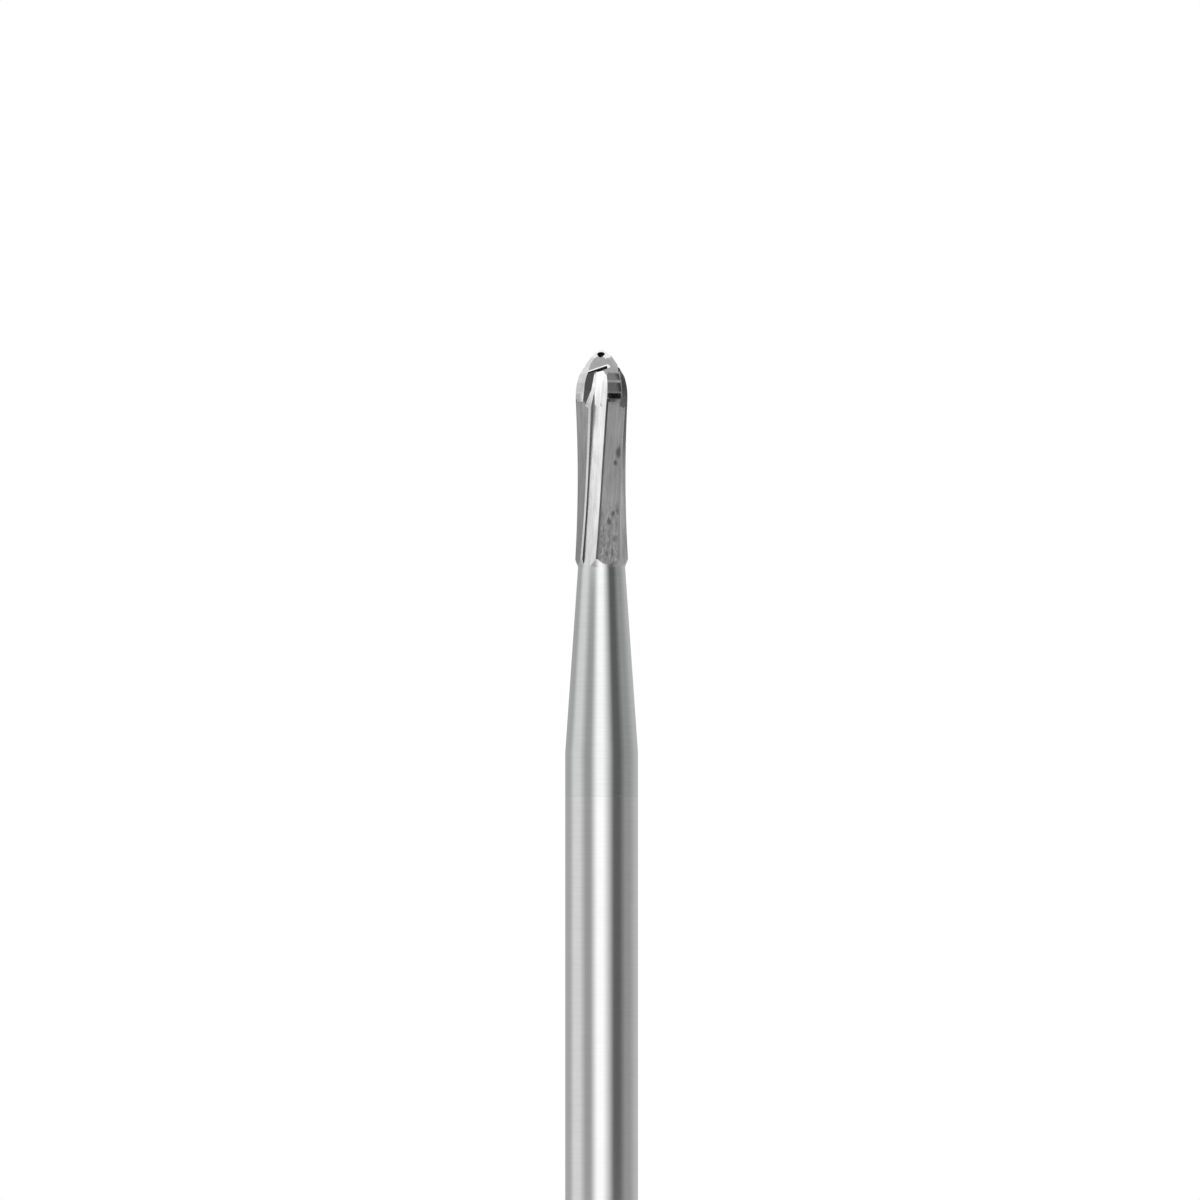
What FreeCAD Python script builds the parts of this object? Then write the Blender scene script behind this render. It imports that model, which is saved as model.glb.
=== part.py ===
import FreeCAD, Part
import os

import Sketcher

# A friction-grip dental bur for a high-speed handpiece, standing on the free end of its shank.
# The origin is the centre of that end face and +Z runs up the axis to the cutting tip.
# Two pieces make it: a plain steel shank, and a carbide head and neck ground from one blank,
# joined face to face at full shank width.

# Driving sizes, in millimetres and degrees.
SIZES = {
    # steel shank
    "shank_diameter": 1.6,
    "shank_length": 11.2,
    "end_chamfer": 0.1,
    "joint_chamfer": 0.012,
    # carbide blank, upwards from the joint
    "stub_length": 0.95,
    "neck_length": 4.08,
    "neck_tip_diameter": 1.035,
    "shoulder_height": 0.17,
    "rim_diameter": 1.17,
    "waist_diameter": 1.06,
    "waist_height": 2.45,
    "crown_diameter": 1.16,
    "crown_length": 0.9,
    "apex_diameter": 0.06,
    "head_length": 4.77,
    # blades and flutes
    "blade_count": 4,
    "helix_lead": 53,
    "index_angle": 222,
    "flute_angle": 34,
    "core_base_diameter": 1.03,
    "core_tip_diameter": 0.7,
    "flute_runout": 0.25,
    "flute_end_drop": 0.43,
    "flute_end_tilt": 20,
    # flats ground along the blades
    "edge_margin": 6,
    "heel_margin": 3,
    "flat_end_drop": 1.11,
    # gashes that open the flutes at the tip, each with a slanting wall and a floor that first
    # ramps down steeply; turns are measured back from the cutting edge
    "gash_length": 0.91,
    "gash_upper_length": 0.45,
    "gash_wall_swing": 52,
    "gash_floor_lead": 0.018,
    "gash_foot_wall_radius": 0.57,
    "gash_foot_wall_turn": 28.3,
    "gash_foot_floor_radius": 0.645,
    "gash_ramp_wall_radius": 0.439,
    "gash_ramp_wall_turn": 12.5,
    "gash_ramp_floor_radius": 0.421,
    "gash_end_wall_radius": 0.341,
    "gash_end_wall_turn": 6.6,
    "gash_end_floor_radius": 0.36,
    # facets on the crown above the flutes
    "facet_advance": 12,
    "facet_reach": 0.15,
    "facet_slope": 31,
}

# Heights and radii that follow from the driving sizes, in the carbide piece's own frame.
HEAD_BASE = "(dims.stub_length + dims.neck_length)"
RIM = f"({HEAD_BASE} + dims.shoulder_height)"
WAIST = f"({HEAD_BASE} + dims.waist_height)"
APEX = f"({HEAD_BASE} + dims.head_length)"
CROWN = f"({APEX} - dims.crown_length)"
FLUTE_END = f"({APEX} - dims.flute_end_drop)"
FLAT_END = f"({APEX} - dims.flat_end_drop)"
NECK_SLOPE = "((dims.shank_diameter - dims.neck_tip_diameter) / 2 / dims.neck_length)"

# The crown is an arc that leaves the body of the head upright and meets the small apex flat.
CROWN_STEP = "((dims.crown_diameter - dims.apex_diameter) / 2)"
CROWN_ARC = f"(({CROWN_STEP}^2 + dims.crown_length^2) / (2 * {CROWN_STEP}))"

# Each cutter reaches this far out, well clear of the blank.
REACH = "(dims.shank_diameter)"


def crown_radius(drop):
    """Formula for the radius of the crown at a depth below the apex."""
    rise = f"({drop} - dims.crown_length)"
    return f"(sqrt({CROWN_ARC}^2 - {rise}^2) - {CROWN_ARC} + dims.crown_diameter / 2)"


def edge_angle(height):
    """Formula for the turn of the first cutting edge at a height, along its right-hand helix."""
    return f"(dims.index_angle + 360 * ({height} - {HEAD_BASE}) / dims.helix_lead)"


def core_radius(height):
    """Formula for the radius at the root of the flutes, which tapers from base to tip."""
    taper = "((dims.core_tip_diameter - dims.core_base_diameter) / 2)"
    share = f"(({height} - {HEAD_BASE}) / ({FLUTE_END} - {HEAD_BASE}))"
    return f"(dims.core_base_diameter / 2 + {taper} * {share})"


def add_sheet(document):
    """The sheet of driving sizes, one named cell for each."""
    sheet = document.addObject("Spreadsheet::Sheet", "dims")
    for row, (name, size) in enumerate(SIZES.items(), start=1):
        sheet.set(f"A{row}", name)
        sheet.set(f"B{row}", str(size))
        sheet.setAlias(f"B{row}", name)
    document.recompute()
    return sheet


def origin_feature(body, role):
    """A plane or axis of the body's own origin."""
    return next(item for item in body.Origin.OriginFeatures if item.Role == role)


def add_sketch(body, name, plane, offset=None):
    """A sketch on one of the body's origin planes, moved and turned by a placement formula."""
    sketch = body.newObject("Sketcher::SketchObject", name)
    sketch.AttachmentSupport = [(origin_feature(body, plane), "")]
    sketch.MapMode = "FlatFace"
    if offset:
        sketch.setExpression("AttachmentOffset", offset)
    return sketch


def spot(sheet, corner):
    """The point that a pair of formulas gives with the present sizes."""
    across, along = (float(sheet.evalExpression(formula)) for formula in corner)
    return FreeCAD.Vector(across, along, 0)


def vertex_at(sketch, element, point):
    """Which end of a sketch element lies at a point: 1 for its start, 2 for its end."""
    return min((1, 2), key=lambda end: sketch.getPoint(element, end).distanceToPoint(point))


def pin(sketch, sheet, element, vertex, corner):
    """Hold a point of a sketch element at a pair of formulas, measured from the sketch's origin."""
    for direction, formula, axis in (("X", corner[0], -2), ("Y", corner[1], -1)):
        if formula == "0":
            sketch.addConstraint(Sketcher.Constraint("PointOnObject", element, vertex, axis))
            continue
        place = float(sheet.evalExpression(formula))
        distance = Sketcher.Constraint(f"Distance{direction}", -1, 1, element, vertex, place)
        number = sketch.addConstraint(distance)
        sketch.setExpression(f"Constraints[{number}]", formula)


def add_loop(sketch, sheet, corners, bows=None):
    """A closed outline through corners. A side listed in bows is an arc through the point there."""
    bows = bows or {}
    points = [spot(sheet, corner) for corner in corners]
    sides = []
    for side, start in enumerate(points):
        end = points[(side + 1) % len(points)]
        if side in bows:
            shape = Part.Arc(start, spot(sheet, bows[side]), end)
        else:
            shape = Part.LineSegment(start, end)
        sides.append(sketch.addGeometry(shape, False))
    for side, element in enumerate(sides):
        before = sides[side - 1]
        here = vertex_at(sketch, element, points[side])
        there = vertex_at(sketch, before, points[side])
        sketch.addConstraint(Sketcher.Constraint("Coincident", before, there, element, here))
        pin(sketch, sheet, element, here, corners[side])
    return sides


def check(document):
    """Stop if any feature of the model failed."""
    for item in document.Objects:
        bad = [state for state in item.State if state in ("Invalid", "Error")]
        if bad:
            raise RuntimeError(f"{item.Name} is {bad}: {item.getStatusString()}")


def edges_at(shape, height):
    """Names of the circular edges at a height."""
    names = []
    for number, edge in enumerate(shape.Edges, start=1):
        box = edge.BoundBox
        if abs(box.ZMin - height) < 1e-6 and abs(box.ZMax - height) < 1e-6:
            names.append(f"Edge{number}")
    return names


def make_steel_shank(document, sheet):
    """The gripped cylinder, chamfered at its free end and with its edge broken at the joint."""
    body = document.addObject("PartDesign::Body", "steel_shank")
    body.Label = "steel_shank"
    circle = add_sketch(body, "shank_circle", "XY_Plane")
    ring = circle.addGeometry(Part.Circle(FreeCAD.Vector(), FreeCAD.Vector(0, 0, 1), 1), False)
    circle.addConstraint(Sketcher.Constraint("Coincident", ring, 3, -1, 1))
    width = circle.addConstraint(Sketcher.Constraint("Diameter", ring, SIZES["shank_diameter"]))
    circle.setExpression(f"Constraints[{width}]", "dims.shank_diameter")
    bar = body.newObject("PartDesign::Pad", "shank_bar")
    bar.Profile = circle
    bar.setExpression("Length", "dims.shank_length")
    document.recompute()

    end = body.newObject("PartDesign::Chamfer", "shank_end_chamfer")
    end.Base = (bar, edges_at(bar.Shape, 0))
    end.setExpression("Size", "dims.end_chamfer")
    document.recompute()

    top = float(sheet.evalExpression("dims.shank_length"))
    joint = body.newObject("PartDesign::Chamfer", "shank_joint_chamfer")
    joint.Base = (end, edges_at(end.Shape, top))
    joint.setExpression("Size", "dims.joint_chamfer")
    body.Tip = joint
    return body


def add_blank(body, sheet):
    """The ground blank: stub, tapered neck, shoulder, slightly waisted head and pointed crown."""
    profile = add_sketch(body, "blank_profile", "XZ_Plane")
    half_way = f"({crown_radius('(dims.crown_length / 2)')})"
    corners = [
        ("0", "0"),
        ("dims.shank_diameter / 2 - dims.joint_chamfer", "0"),
        ("dims.shank_diameter / 2", "dims.joint_chamfer"),
        ("dims.shank_diameter / 2", "dims.stub_length"),
        ("dims.neck_tip_diameter / 2", HEAD_BASE),
        ("dims.rim_diameter / 2", RIM),
        ("dims.crown_diameter / 2", CROWN),
        ("dims.apex_diameter / 2", APEX),
        ("0", APEX),
    ]
    waist = ("dims.waist_diameter / 2", WAIST)
    crown = (half_way, f"({APEX} - dims.crown_length / 2)")
    sides = add_loop(profile, sheet, corners, {5: waist, 6: crown})

    # The body of the head narrows to its waist along one arc, and the crown springs upright.
    mark = profile.addGeometry(Part.Point(spot(sheet, waist)), True)
    pin(profile, sheet, mark, 1, waist)
    profile.addConstraint(Sketcher.Constraint("PointOnObject", mark, 1, sides[5]))
    springing = vertex_at(profile, sides[6], spot(sheet, corners[6]))
    profile.addConstraint(Sketcher.Constraint("Horizontal", sides[6], 3, sides[6], springing))

    blank = body.newObject("PartDesign::Revolution", "blank")
    blank.Profile = profile
    blank.ReferenceAxis = (profile, ["V_Axis"])
    blank.Angle = 360
    return blank


def add_cut(body, name, sections, ruled=False):
    """A cut lofted through sections, from the lowest to the highest."""
    cut = body.newObject("PartDesign::SubtractiveLoft", name)
    cut.Profile = sections[0]
    cut.Sections = sections[1:]
    cut.Ruled = ruled
    return cut


def level(height, turn, tilt="0"):
    """Placement formula of a section at a height, turned about the axis and tilted up."""
    return f"placement(vector(0; 0; {height}); rotation({turn}; 0; {tilt}))"


def add_flat(body, sheet):
    """One blade's flat, which keeps a narrow round margin beside the edge and at the heel."""
    margins = "(dims.edge_margin + dims.heel_margin)"
    half = f"((360 / dims.blade_count - dims.flute_angle - {margins}) / 2)"
    middle = f"(dims.flute_angle + dims.heel_margin + {half})"
    stations = {
        "base": (HEAD_BASE, "dims.rim_diameter / 2"),
        "rim": (RIM, "dims.rim_diameter / 2"),
        "waist": (WAIST, "dims.waist_diameter / 2"),
        "crown": (FLAT_END, "dims.crown_diameter / 2"),
    }
    sections = []
    for name, (height, radius) in stations.items():
        turn = f"{edge_angle(height)} + {middle}"
        section = add_sketch(body, f"flat_at_{name}", "XY_Plane", level(height, turn))
        depth = f"{radius} * cos({half})"
        corners = [
            (depth, f"-{REACH} / 2"),
            (REACH, f"-{REACH} / 2"),
            (REACH, f"{REACH} / 2"),
            (depth, f"{REACH} / 2"),
        ]
        add_loop(section, sheet, corners)
        sections.append(section)
    return add_cut(body, "blade_flat", sections)


def add_flute(body, sheet):
    """One flute: an upright rake face down to the core, and a long face rising to the next heel."""
    runout = f"({HEAD_BASE} - dims.flute_runout)"
    neck_there = f"(dims.neck_tip_diameter / 2 + dims.flute_runout * {NECK_SLOPE})"
    stations = {
        "runout": (runout, neck_there, "dims.rim_diameter / 2", "0"),
        "rim": (RIM, core_radius(RIM), "dims.rim_diameter / 2", "0"),
        "waist": (WAIST, core_radius(WAIST), "dims.waist_diameter / 2", "0"),
        "crown": (CROWN, core_radius(CROWN), "dims.crown_diameter / 2", "0"),
        "end": (
            FLUTE_END,
            core_radius(FLUTE_END),
            crown_radius("dims.flute_end_drop"),
            "dims.flute_end_tilt",
        ),
    }
    sections = []
    for name, (height, root, rim, tilt) in stations.items():
        place = level(height, edge_angle(height), tilt)
        section = add_sketch(body, f"flute_at_{name}", "XY_Plane", place)
        heel_x = f"{rim} * cos(dims.flute_angle)"
        heel_y = f"{rim} * sin(dims.flute_angle)"
        corners = [
            (root, "0"),
            (REACH, "0"),
            (REACH, f"2 * {heel_y}"),
            (f"2 * {heel_x} - {root}", f"2 * {heel_y}"),
        ]
        add_loop(section, sheet, corners)
        sections.append(section)
    return add_cut(body, "flute", sections)


def add_gash(body, sheet):
    """One gash at the tip: a slanting wall, and a floor that runs out through the blade behind."""
    stations = {
        "foot": (f"({FLUTE_END} - dims.gash_length)", "0"),
        "ramp": (f"({FLUTE_END} - dims.gash_upper_length)", "0"),
        "end": (FLUTE_END, "dims.flute_end_tilt"),
    }
    sections = []
    for name, (height, tilt) in stations.items():
        place = level(height, edge_angle(FLUTE_END), tilt)
        section = add_sketch(body, f"gash_at_{name}", "XY_Plane", place)
        wall_x = f"dims.gash_{name}_wall_radius * cos(dims.gash_{name}_wall_turn)"
        wall_y = f"-dims.gash_{name}_wall_radius * sin(dims.gash_{name}_wall_turn)"
        floor_x = f"dims.gash_{name}_floor_radius"
        corners = [
            (wall_x, wall_y),
            (
                f"{wall_x} + {REACH} * cos(dims.gash_wall_swing)",
                f"{wall_y} - {REACH} * sin(dims.gash_wall_swing)",
            ),
            (f"{floor_x} + {REACH}", "dims.gash_floor_lead"),
            (floor_x, "dims.gash_floor_lead"),
        ]
        add_loop(section, sheet, corners)
        sections.append(section)
    return add_cut(body, "tip_gash", sections, ruled=True)


def add_facet(body, sheet):
    """One flat facet of the crown, over the end of a flute."""
    turn = f"{edge_angle(FLUTE_END)} + dims.facet_advance"
    place = f"placement(vector(0; 0; 0); rotation(0; {turn}; 0))"
    section = add_sketch(body, "facet_profile", "XZ_Plane", place)
    slope = "tan(dims.facet_slope)"
    depth = "dims.crown_length"
    corners = [
        ("dims.facet_reach", APEX),
        (REACH, APEX),
        (REACH, f"{APEX} - {depth}"),
        (f"dims.facet_reach + {depth} * {slope}", f"{APEX} - {depth}"),
    ]
    add_loop(section, sheet, corners)
    facet = body.newObject("PartDesign::Pocket", "crown_facet")
    facet.Profile = section
    facet.SideType = "Symmetric"
    facet.setExpression("Length", "dims.crown_diameter")
    return facet


def make_carbide_head(document, sheet):
    """The carbide piece, with every cut repeated round the axis for each blade."""
    body = document.addObject("PartDesign::Body", "carbide_head_and_neck")
    body.Label = "carbide_head_and_neck"
    body.setExpression("Placement.Base.z", "dims.shank_length")
    add_blank(body, sheet)
    document.recompute()
    cuts = []
    for add in (add_flat, add_flute, add_gash, add_facet):
        cuts.append(add(body, sheet))
        document.recompute()
    pattern = body.newObject("PartDesign::PolarPattern", "blades")
    pattern.Originals = cuts
    pattern.Axis = (origin_feature(body, "Z_Axis"), [""])
    pattern.Angle = 360
    pattern.setExpression("Occurrences", "dims.blade_count")
    body.Tip = pattern
    return body


def main():
    """Build both pieces, check them and write one file for each."""
    document = FreeCAD.newDocument("dental_bur")
    sheet = add_sheet(document)
    pieces = [
        make_steel_shank(document, sheet),
        make_carbide_head(document, sheet),
    ]
    document.recompute()
    check(document)
    for piece in pieces:
        if piece.Shape.isNull() or not piece.Shape.isValid():
            raise RuntimeError(f"{piece.Label} has no valid solid")
        if len(piece.Shape.Solids) != 1:
            raise RuntimeError(f"{piece.Label} has {len(piece.Shape.Solids)} solids")
    os.makedirs("parts", exist_ok=True)
    for piece in pieces:
        piece.Shape.exportStep(f"parts/{piece.Label}.step")
        print(piece.Label, "volume", round(piece.Shape.Volume, 4), "mm3")


main()
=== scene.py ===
"""Dental bur: a ground steel shank and a fluted carbide head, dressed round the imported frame.

Lengths are in millimetres and angles in degrees, in the frame of the part: the axis of the bur is Z,
the free end of its shank is at the origin and the photograph is taken along +Y. Bearings are turned
about that axis from the camera's side, positive to the right of the picture. Meshes are scaled to
metres when they are laid down.
"""

import logging
import math
from collections.abc import Callable, Sequence
from dataclasses import dataclass
from enum import Enum

import bmesh
import bpy
from mathutils import Matrix, Vector


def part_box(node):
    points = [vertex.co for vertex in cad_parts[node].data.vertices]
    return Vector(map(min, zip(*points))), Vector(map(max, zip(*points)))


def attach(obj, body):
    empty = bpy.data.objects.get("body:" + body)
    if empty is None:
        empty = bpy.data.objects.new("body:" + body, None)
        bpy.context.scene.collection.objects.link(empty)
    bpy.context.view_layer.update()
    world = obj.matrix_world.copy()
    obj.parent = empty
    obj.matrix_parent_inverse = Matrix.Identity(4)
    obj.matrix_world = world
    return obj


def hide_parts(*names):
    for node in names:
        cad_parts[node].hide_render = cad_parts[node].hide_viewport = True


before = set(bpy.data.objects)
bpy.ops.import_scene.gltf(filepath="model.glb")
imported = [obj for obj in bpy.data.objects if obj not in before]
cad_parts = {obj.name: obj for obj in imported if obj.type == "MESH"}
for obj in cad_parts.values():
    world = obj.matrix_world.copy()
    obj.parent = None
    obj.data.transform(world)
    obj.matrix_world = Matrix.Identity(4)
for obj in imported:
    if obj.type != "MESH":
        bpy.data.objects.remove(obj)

LOG = logging.getLogger("dental_bur")
METRES_PER_MM = 0.001
FULL_TURN = 360.0
# The angle of bearing 0 from the frame's +X.
CAMERA_SIDE = -90.0


class ShankSurface(Enum):
    """Surfaces of the shank, numbered as their material slots."""

    BAR = 0
    END = 1


class HeadSurface(Enum):
    """Surfaces of the head and neck, numbered as their material slots."""

    NECK = 0
    MARGIN = 1
    CROWN = 2
    LAND = 3
    # Painted shade: near-black corners, steps and end walls under the ledge, and the pit at the tip.
    FLUTE = 4
    RAKE = 5
    GASH_FLOOR = 6
    PAINTED_SHADE = 7
    BREAK = 8
    HEEL = 9
    GASH = 10
    # One land, painted darker as shade.
    SHADED_LAND = 11


def turned_place(height: float, turn: float, tilt: float = 0.0) -> Matrix:
    """Placement of a section across the axis.

    Args:
        height: Height of its centre on the axis.
        turn: Turn about the axis.
        tilt: Tilt up about its own X, after the turn.

    Returns:
        The matrix that carries the section's own plane there.
    """
    spin = Matrix.Rotation(math.radians(turn), 4, "Z")
    lean = Matrix.Rotation(math.radians(tilt), 4, "X")
    return Matrix.Translation((0, 0, height)) @ spin @ lean


def spread(start: float, end: float, count: int) -> list[float]:
    """Evenly spaced values from start to end, both included."""
    return [start + (end - start) * step / (count - 1) for step in range(count)]


def between(low: float, high: float, share: float) -> float:
    """The value at a share of the way from low to high."""
    return low + (high - low) * share


@dataclass(frozen=True)
class Arc:
    """A circle through three points of a turned outline, each a radius and a height."""

    first: tuple[float, float]
    middle: tuple[float, float]
    last: tuple[float, float]

    def centre(self) -> Vector:
        """The centre of the circle through the three points.

        Returns:
            Its radius and its height.
        """
        (ax, ay), (bx, by), (cx, cy) = self.first, self.middle, self.last
        double_area = 2 * (ax * (by - cy) + bx * (cy - ay) + cx * (ay - by))
        a_square, b_square, c_square = ax * ax + ay * ay, bx * bx + by * by, cx * cx + cy * cy
        across = a_square * (by - cy) + b_square * (cy - ay) + c_square * (ay - by)
        up = a_square * (cx - bx) + b_square * (ax - cx) + c_square * (bx - ax)
        return Vector((across, up)) / double_area

    def radius_at(self, height: float) -> float:
        """Radius of the turned outline, on the arc's side that holds its points.

        Args:
            height: Height on the axis.

        Returns:
            The radius there.
        """
        centre = self.centre()
        reach = (Vector(self.first) - centre).length
        half = math.sqrt(reach**2 - (height - centre.y) ** 2)
        return centre.x - half if centre.x > self.middle[0] else centre.x + half


@dataclass
class Solid:
    """A closed mesh in the making, with a surface number for each face."""

    points: list[Vector]
    faces: list[tuple[int, ...]]
    marks: list[int]

    def mesh(self, name: str, materials: Sequence[bpy.types.Material]) -> bpy.types.Mesh:
        """The mesh of this solid, with its materials in slot order.

        Args:
            name: Name of the mesh.
            materials: One material for each surface number.

        Returns:
            The new mesh, still in millimetres.
        """
        mesh = bpy.data.meshes.new(name)
        mesh.from_pydata(self.points, [], self.faces)
        for material in materials:
            mesh.materials.append(material)
        mesh.polygons.foreach_set("material_index", self.marks)
        mesh.update()
        return mesh


def lofted(
    rings: Sequence[Sequence[Vector]],
    surface_of: Callable[[int, int], Enum],
    cap: Enum,
) -> Solid:
    """A closed solid through rings of points, from the lowest to the highest.

    Args:
        rings: Rings with the same number of points each, counter-clockwise seen from above.
        surface_of: Gives the surface of the face above a ring's number and a side's number.
        cap: Surface of the two end faces.

    Returns:
        The solid.
    """
    count = len(rings[0])
    points = [point for ring in rings for point in ring]
    faces: list[tuple[int, ...]] = []
    marks: list[int] = []
    for level in range(len(rings) - 1):
        low = level * count
        high = low + count
        for side in range(count):
            after = (side + 1) % count
            faces.append((low + side, low + after, high + after, high + side))
            marks.append(surface_of(level, side).value)
    top = (len(rings) - 1) * count
    faces.append(tuple(reversed(range(count))))
    faces.append(tuple(range(top, top + count)))
    marks += [cap.value, cap.value]
    return Solid(points, faces, marks)


def turned_solid(
    outline: Sequence[tuple[float, float, Enum]], segments: int, cap: Enum
) -> Solid:
    """A solid of revolution about the axis.

    Args:
        outline: Radius, height and the surface above each point, from the lowest to the highest.
        segments: Number of sides round the axis.
        cap: Surface of the two end faces.

    Returns:
        The solid.
    """
    bearings = [2 * math.pi * side / segments for side in range(segments)]
    rings = [
        [Vector((radius * math.cos(b), radius * math.sin(b), height)) for b in bearings]
        for radius, height, _ in outline
    ]
    return lofted(rings, lambda level, side: outline[level][2], cap)


class Carving:
    """A workpiece that cutters are taken out of, one after another."""

    def __init__(self, name: str, mesh: bpy.types.Mesh) -> None:
        """Put the workpiece on the bench.

        Args:
            name: Name of the workpiece.
            mesh: Its mesh, in millimetres, with all its materials.
        """
        self.piece = bpy.data.objects.new(name, mesh)
        bpy.context.scene.collection.objects.link(self.piece)

    def cut(self, mesh: bpy.types.Mesh) -> None:
        """Take a closed cutter out of the workpiece.

        Args:
            mesh: The cutter. The new faces keep its surfaces.
        """
        cutter = bpy.data.objects.new("cutter", mesh)
        bpy.context.scene.collection.objects.link(cutter)
        step = self.piece.modifiers.new("cut", "BOOLEAN")
        step.operation = "DIFFERENCE"
        step.solver = "MANIFOLD"
        step.material_mode = "INDEX"
        step.object = cutter
        graph = bpy.context.evaluated_depsgraph_get()
        carved = bpy.data.meshes.new_from_object(self.piece.evaluated_get(graph), depsgraph=graph)
        self.piece.modifiers.clear()
        self.piece.data = carved
        bpy.data.objects.remove(cutter)

    def sweep_scraps(self) -> None:
        """Take away the loose scraps that a cut can leave: two faces back to back, of no thickness."""
        mesh = self.piece.data
        work = bmesh.new()
        work.from_mesh(mesh)
        scraps = [
            vertex
            for vertex in work.verts
            if all(len(corner.link_edges) == 2 for face in vertex.link_faces for corner in face.verts)
        ]
        bmesh.ops.delete(work, geom=scraps, context="VERTS")
        work.to_mesh(mesh)
        work.free()

    def finished(self, sharp_angle: float) -> bpy.types.Object:
        """Clean the workpiece, scale it to metres and shade it, with edges past an angle left crisp.

        Args:
            sharp_angle: Edges that turn by more than this stay sharp.

        Returns:
            The finished object.
        """
        self.sweep_scraps()
        mesh = self.piece.data
        mesh.transform(Matrix.Scale(METRES_PER_MM, 4))
        mesh.polygons.foreach_set("use_smooth", [True] * len(mesh.polygons))
        mesh.set_sharp_from_angle(angle=math.radians(sharp_angle))
        mesh.update()
        return self.piece


class NodeBench:
    """Lays out the shader nodes of one material, or of the world."""

    mix_share = 0
    mix_colours = (6, 7)
    mix_result = 2

    def __init__(self, owner: bpy.types.Material | bpy.types.World) -> None:
        """Start without nodes.

        Args:
            owner: The new material or world.
        """
        self.owner = owner
        self.owner.use_nodes = True
        self.tree = self.owner.node_tree
        self.tree.nodes.clear()

    def add(self, kind: str, **settings: object) -> bpy.types.Node:
        """A new node.

        Args:
            kind: The node's type.
            settings: Properties to set on it, by name.

        Returns:
            The node.
        """
        node = self.tree.nodes.new(kind)
        for name, value in settings.items():
            setattr(node, name, value)
        return node

    def feed(self, target: bpy.types.NodeSocket, source: object) -> None:
        """Wire a socket into another, or set a plain value on it.

        Args:
            target: The input.
            source: An output, or a plain value.
        """
        if isinstance(source, bpy.types.NodeSocket):
            self.tree.links.new(source, target)
        else:
            target.default_value = source

    def math(self, operation: str, *values: object) -> bpy.types.NodeSocket:
        """Work one sum out with a Math node.

        Args:
            operation: The node's operation.
            values: Sockets or plain numbers.

        Returns:
            The result.
        """
        node = self.add("ShaderNodeMath", operation=operation)
        for target, value in zip(node.inputs, values):
            self.feed(target, value)
        return node.outputs[0]

    def place(self, lead: float | None = None) -> bpy.types.NodeSocket:
        """The point on the object in millimetres, untwisted where the grain follows a helix.

        Args:
            lead: Height of one turn of the helix, or None for a straight grain.

        Returns:
            A vector socket.
        """
        where = self.add("ShaderNodeTexCoord").outputs["Object"]
        scaled = self.add("ShaderNodeVectorMath", operation="SCALE")
        self.feed(scaled.inputs[0], where)
        self.feed(scaled.inputs["Scale"], 1 / METRES_PER_MM)
        if lead is None:
            return scaled.outputs[0]
        split = self.add("ShaderNodeSeparateXYZ")
        self.feed(split.inputs[0], scaled.outputs[0])
        untwist = self.add("ShaderNodeVectorRotate", rotation_type="Z_AXIS")
        turn_per_mm = -2 * math.pi / lead
        self.feed(untwist.inputs["Vector"], scaled.outputs[0])
        self.feed(untwist.inputs["Angle"], self.math("MULTIPLY", split.outputs["Z"], turn_per_mm))
        return untwist.outputs[0]

    def noise(
        self, place: bpy.types.NodeSocket, across: float, along: float, detail: float = 3.0
    ) -> bpy.types.NodeSocket:
        """Noise stretched along the axis or round it.

        Args:
            place: Point in millimetres.
            across: Grains per millimetre across the axis.
            along: Grains per millimetre along the axis.
            detail: Octaves of finer grain.

        Returns:
            The noise, mostly from 0.3 to 0.7.
        """
        stretch = self.add("ShaderNodeVectorMath", operation="MULTIPLY")
        self.feed(stretch.inputs[0], place)
        stretch.inputs[1].default_value = (across, across, along)
        grain = self.add("ShaderNodeTexNoise")
        self.feed(grain.inputs["Vector"], stretch.outputs[0])
        grain.inputs["Scale"].default_value = 1.0
        grain.inputs["Detail"].default_value = detail
        return grain.outputs["Fac"]

    def ramp(
        self, value: bpy.types.NodeSocket, low: float, high: float, start: float = 0.0, end: float = 1.0
    ) -> bpy.types.NodeSocket:
        """Carry a value smoothly onto another range, and hold it at the ends.

        Args:
            value: The value.
            low: Where it gives start.
            high: Where it gives end.
            start: The result at low and beyond.
            end: The result at high and beyond.

        Returns:
            The result.
        """
        node = self.add("ShaderNodeMapRange", interpolation_type="SMOOTHSTEP")
        self.feed(node.inputs["Value"], value)
        node.inputs["From Min"].default_value = low
        node.inputs["From Max"].default_value = high
        node.inputs["To Min"].default_value = start
        node.inputs["To Max"].default_value = end
        return node.outputs["Result"]

    def blend(self, share: object, first: object, second: object) -> bpy.types.NodeSocket:
        """A colour between two.

        Args:
            share: How far it is on the way from the first to the second.
            first: The colour at 0.
            second: The colour at 1.

        Returns:
            The colour.
        """
        node = self.add("ShaderNodeMix", data_type="RGBA")
        self.feed(node.inputs[self.mix_share], share)
        for place, colour in zip(self.mix_colours, (first, second)):
            self.feed(node.inputs[place], colour)
        return node.outputs[self.mix_result]

    def close(
        self, shader: bpy.types.NodeSocket, kind: str = "ShaderNodeOutputMaterial"
    ) -> bpy.types.Material | bpy.types.World:
        """Wire the shader to the output.

        Args:
            shader: The finished shader.
            kind: The output node's type.

        Returns:
            The finished material or world.
        """
        output = self.add(kind)
        self.feed(output.inputs["Surface"], shader)
        return self.owner


def grey(tone: float, tint: tuple[float, float, float] = (1.0, 1.0, 1.0)) -> tuple[float, ...]:
    """A tinted grey as a colour with alpha."""
    return (*(tone * share for share in tint), 1.0)


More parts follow.
